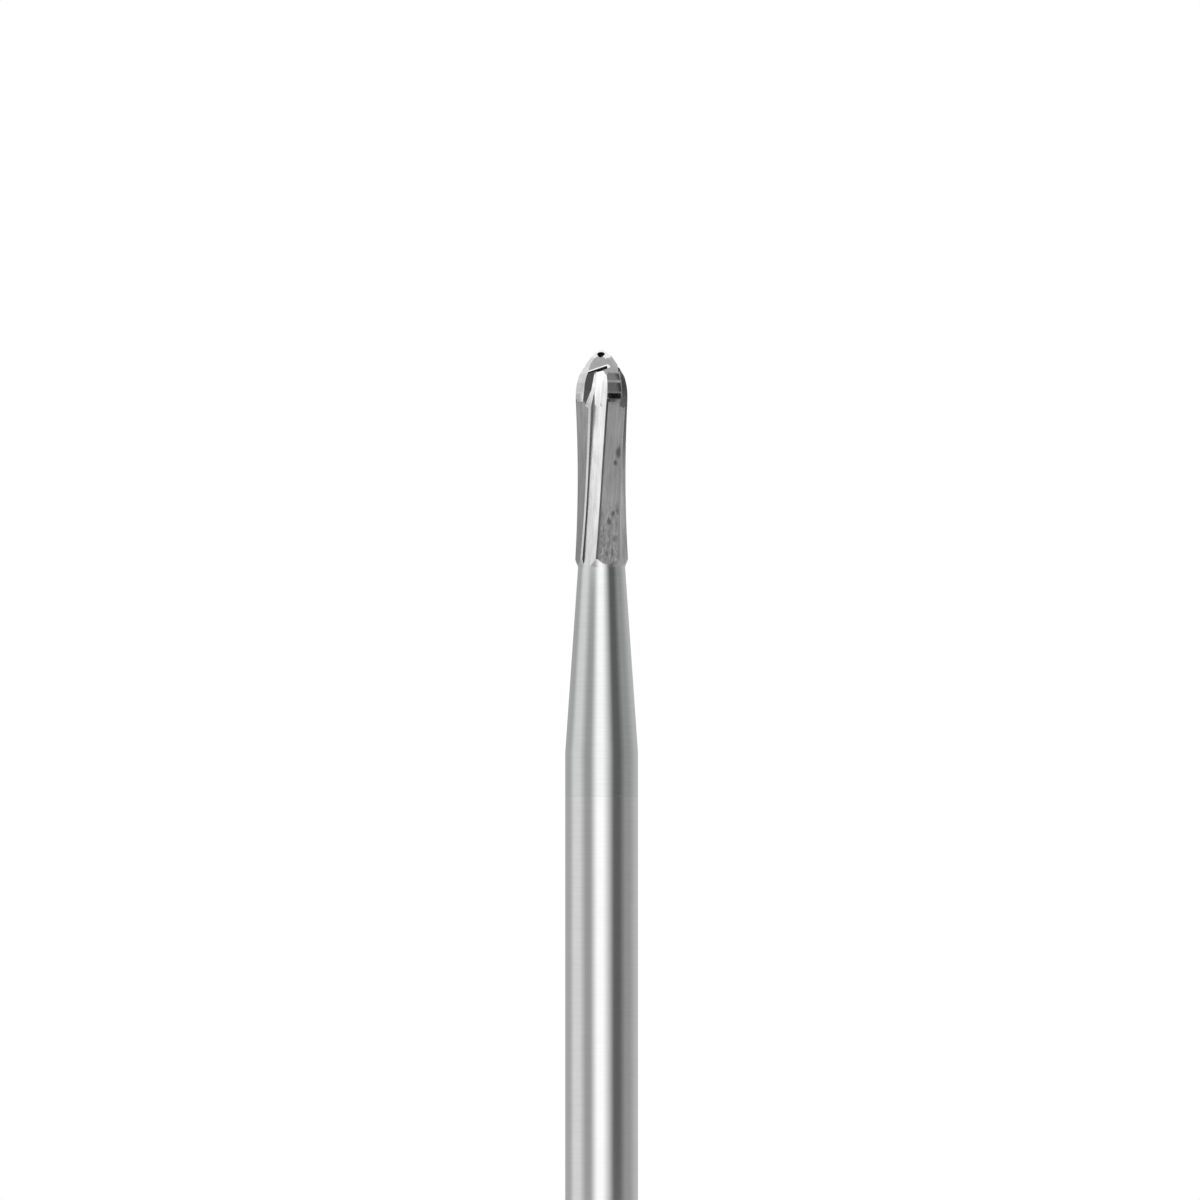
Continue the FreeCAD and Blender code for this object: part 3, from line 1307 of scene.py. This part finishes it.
@dataclass
class Studio:
    """A pale floor, a white surround, one soft lamp and the rows of reflectors."""

    card_radius: float = 16.0
    card_segments: int = 180
    crown_start: float = 20.03
    crown_arc: float = 1.13
    steepest_view: float = 70.0
    floor_radius: float = 60.0
    floor_segments: int = 96
    floor_drop: float = 0.002
    floor_colour: float = 0.5
    floor_glow: float = 0.55
    room_light: float = 0.6
    lamp_place: tuple[float, float, float] = (-55.0, -60.0, 120.0)
    lamp_size: float = 70.0
    lamp_power: float = 0.12

    def rows(self) -> tuple[CardRow, ...]:
        """The reflectors.

        Returns:
            The rows, from the floor up.
        """
        rear_left = Card("rear_left", -180, -116, 0.43)
        right_half = (
            Card("softbox", -13, 4, 1.18),
            Card("dark_right", 38, 58, 0.12),
            Card("grey_right", 80, 96, 0.33),
            Card("rear_right", 130, 180, 0.52),
        )
        white_front = Card("white_front", -72, 12, 1.15)
        rear_right = Card("rear_right", 150, 180, 0.5)
        level = CardRow("level", 0.0, 18.5, (
            rear_left,
            Card("pale_left", -96, -72, 0.76),
            Card("grey_left", -50, -34, 0.36),
            *right_half,
        ))
        head_row = CardRow("head_row", 18.5, 19.3, (
            rear_left,
            Card("white_left", -90, -30, 0.9),
            *right_half,
        ))
        black = CardRow("black", 19.3, 20.055, (
            Card("grey_left", -180, -110, 0.5),
            Card("wide_front", -84, 12, 1.0),
            Card("black_right", 28, 130, 0.002),
            rear_right,
        ))
        thin_line = CardRow("thin_line", 20.055, 20.085, (
            Card("pale_left", -180, -90, 0.7),
            white_front,
            Card("grey_right", 28, 180, 0.2),
        ))
        dark = CardRow("dark", 20.085, 20.285, (
            Card("pale_left", -180, -90, 0.62),
            white_front,
            Card("dark_right", 28, 66, 0.14),
            Card("darker_right", 92, 125, 0.04),
            rear_right,
        ))
        line = CardRow("line", 20.285, 20.335, (
            Card("pale_left", -180, -90, 0.7),
            white_front,
            Card("grey_right", 28, 180, 0.36),
        ))
        grey_band = CardRow("grey_band", 20.335, 20.5, (
            Card("pale_left", -180, -90, 0.75),
            white_front,
            Card("grey_right", 28, 75, 0.22),
            Card("dark_right", 100, 125, 0.06),
            rear_right,
        ))
        high = CardRow("high", 20.5, 21.0, (
            Card("pale_left", -180, -50, 0.85),
            Card("grey_front", -28, 15, 0.42),
            Card("grey_right", 35, 180, 0.45),
        ))
        return (level, head_row, black, thin_line, dark, line, grey_band, high)

    def build(self) -> None:
        """Set up the whole studio."""
        self.lay_floor()
        self.hang_lamp()
        self.paint_surround()
        for row in self.rows():
            self.stand_row(row)

    def seen_directly(self, bench: NodeBench) -> bpy.types.NodeSocket:
        """Tell the rays that show the background itself: from the camera, a gloss or clear glass.

        Args:
            bench: The nodes of the background.

        Returns:
            A socket that is 1 for such a ray and 0 for any other.
        """
        path = bench.add("ShaderNodeLightPath").outputs
        seen = bench.math("MAXIMUM", path["Is Camera Ray"], path["Is Glossy Ray"])
        return bench.math("MAXIMUM", seen, path["Is Transmission Ray"])

    def lay_floor(self) -> None:
        """A round pale floor under the shank's free end. It looks white and keeps the shadow."""
        bench = NodeBench(bpy.data.materials.new("pale_floor"))
        matt = bench.add("ShaderNodeBsdfDiffuse")
        matt.inputs["Color"].default_value = grey(self.floor_colour)
        glow = bench.add("ShaderNodeEmission")
        strength = bench.math("MULTIPLY", self.seen_directly(bench), self.floor_glow)
        bench.feed(glow.inputs["Strength"], strength)
        both = bench.add("ShaderNodeAddShader")
        bench.feed(both.inputs[0], matt.outputs[0])
        bench.feed(both.inputs[1], glow.outputs[0])
        material = bench.close(both.outputs[0])
        radius = self.floor_radius * METRES_PER_MM
        work = bmesh.new()
        bmesh.ops.create_circle(work, cap_ends=True, segments=self.floor_segments, radius=radius)
        mesh = bpy.data.meshes.new("floor")
        work.to_mesh(mesh)
        work.free()
        mesh.materials.append(material)
        floor = bpy.data.objects.new("floor", mesh)
        floor.location.z = -self.floor_drop * METRES_PER_MM
        bpy.context.scene.collection.objects.link(floor)

    def hang_lamp(self) -> None:
        """One soft lamp, for the floor and its shadow. The metal is lit by what it reflects."""
        light = bpy.data.lights.new("soft_lamp", "AREA")
        light.size = self.lamp_size * METRES_PER_MM
        light.energy = self.lamp_power
        lamp = bpy.data.objects.new("soft_lamp", light)
        place = Vector(self.lamp_place) * METRES_PER_MM
        lamp.location = place
        lamp.rotation_mode = "QUATERNION"
        lamp.rotation_quaternion = (-place).to_track_quat("-Z", "Y")
        lamp.visible_glossy = False
        bpy.context.scene.collection.objects.link(lamp)

    def paint_surround(self) -> None:
        """White where it is seen directly or in a gloss, and a plain grey light elsewhere."""
        bench = NodeBench(bpy.data.worlds.new("white_surround"))
        seen = self.seen_directly(bench)
        back = bench.add("ShaderNodeBackground")
        back.inputs["Color"].default_value = grey(1.0)
        bench.feed(back.inputs["Strength"], bench.ramp(seen, 0.0, 1.0, self.room_light, 1.0))
        bpy.context.scene.world = bench.close(back.outputs[0], "ShaderNodeOutputWorld")

    def mirrored_height(self, height: float, bearing: float) -> float:
        """Height on the ring of reflectors that the bur mirrors towards the camera.

        Args:
            height: Height on the bur. Its crown leans back more and more, so it mirrors far above.
            bearing: Bearing on the ring of reflectors.

        Returns:
            The height on the ring.
        """
        rise = max(0.0, height - self.crown_start)
        lean = math.asin(min(1.0, rise / self.crown_arc))
        elevation = 2 * lean * math.cos(math.radians(bearing / 2))
        steepest = math.radians(self.steepest_view)
        return height + self.card_radius * math.tan(min(elevation, steepest))

    def card_mesh(self, row: CardRow) -> bpy.types.Mesh:
        """The ring of a row of reflectors.

        Args:
            row: The row.

        Returns:
            The ring, with the tone of each of its points.
        """
        bearings = spread(-FULL_TURN / 2, FULL_TURN / 2, self.card_segments + 1)[:-1]
        points = []
        for height in (row.bottom, row.top):
            for bearing in bearings:
                turn = math.radians(bearing + CAMERA_SIDE)
                points.append((
                    self.card_radius * METRES_PER_MM * math.cos(turn),
                    self.card_radius * METRES_PER_MM * math.sin(turn),
                    self.mirrored_height(height, bearing) * METRES_PER_MM,
                ))
        count = len(bearings)
        faces = [(k, (k + 1) % count, count + (k + 1) % count, count + k) for k in range(count)]
        mesh = bpy.data.meshes.new(f"{row.name}_cards")
        mesh.from_pydata(points, [], faces)
        tones = mesh.attributes.new("tone", "FLOAT", "POINT")
        tones.data.foreach_set("value", [row.tone_at(bearing) for bearing in bearings] * 2)
        return mesh

    def card_paint(self, row: CardRow) -> bpy.types.Material:
        """The glow of a row of reflectors, in the tones of its points.

        Args:
            row: The row.

        Returns:
            The material.
        """
        bench = NodeBench(bpy.data.materials.new(f"{row.name}_card_paint"))
        tone = bench.add("ShaderNodeAttribute", attribute_name="tone")
        paint = bench.add("ShaderNodeEmission")
        bench.feed(paint.inputs["Strength"], tone.outputs["Fac"])
        material = bench.close(paint.outputs[0])
        material.cycles.emission_sampling = "NONE"
        return material

    def stand_row(self, row: CardRow) -> None:
        """Stand one row of reflectors round the bur. Only glossy surfaces see it.

        Args:
            row: The row.
        """
        mesh = self.card_mesh(row)
        mesh.materials.append(self.card_paint(row))
        cards = bpy.data.objects.new(f"{row.name}_cards", mesh)
        cards.visible_camera = False
        cards.visible_diffuse = False
        cards.visible_shadow = False
        bpy.context.scene.collection.objects.link(cards)


@dataclass(frozen=True)
class PhotoCamera:
    """The photograph's level view, as pixels of its own square frame. It sees near and far in metres."""

    frame_pixels: float = 1200.0
    pixels_per_mm: float = 45.5
    apex_row: float = 350.0
    axis_column: float = 601.6
    distance: float = 400.0
    sensor: float = 36.0
    near: float = 0.01
    far: float = 10.0
    level_tilt: float = 90.0

    def build(self) -> None:
        """Make the camera and look through it."""
        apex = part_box("carbide_head_and_neck")[1].z / METRES_PER_MM
        middle = self.frame_pixels / 2
        height = apex - (middle - self.apex_row) / self.pixels_per_mm
        aside = (middle - self.axis_column) / self.pixels_per_mm
        data = bpy.data.cameras.new("photo_camera")
        data.sensor_width = self.sensor
        data.lens = self.sensor * self.distance * self.pixels_per_mm / self.frame_pixels
        data.clip_start = self.near
        data.clip_end = self.far
        camera = bpy.data.objects.new("photo_camera", data)
        camera.location = Vector((aside, -self.distance, height)) * METRES_PER_MM
        camera.rotation_euler = (math.radians(self.level_tilt), 0, 0)
        bpy.context.scene.collection.objects.link(camera)
        bpy.context.scene.camera = camera


def main() -> None:
    """Build the bur piece by piece, then the studio and the camera round it."""
    logging.basicConfig(level=logging.INFO, format="%(name)s: %(message)s")
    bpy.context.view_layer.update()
    bpy.context.scene.view_settings.view_transform = "Standard"
    for bur_piece in (SteelShank(), FlutedHead()):
        built = bur_piece.build()
        LOG.info("%s: %d faces, stands for %s", built.name, len(built.data.polygons), bur_piece.node)
    Studio().build()
    PhotoCamera().build()


if __name__ == "__main__":
    main()
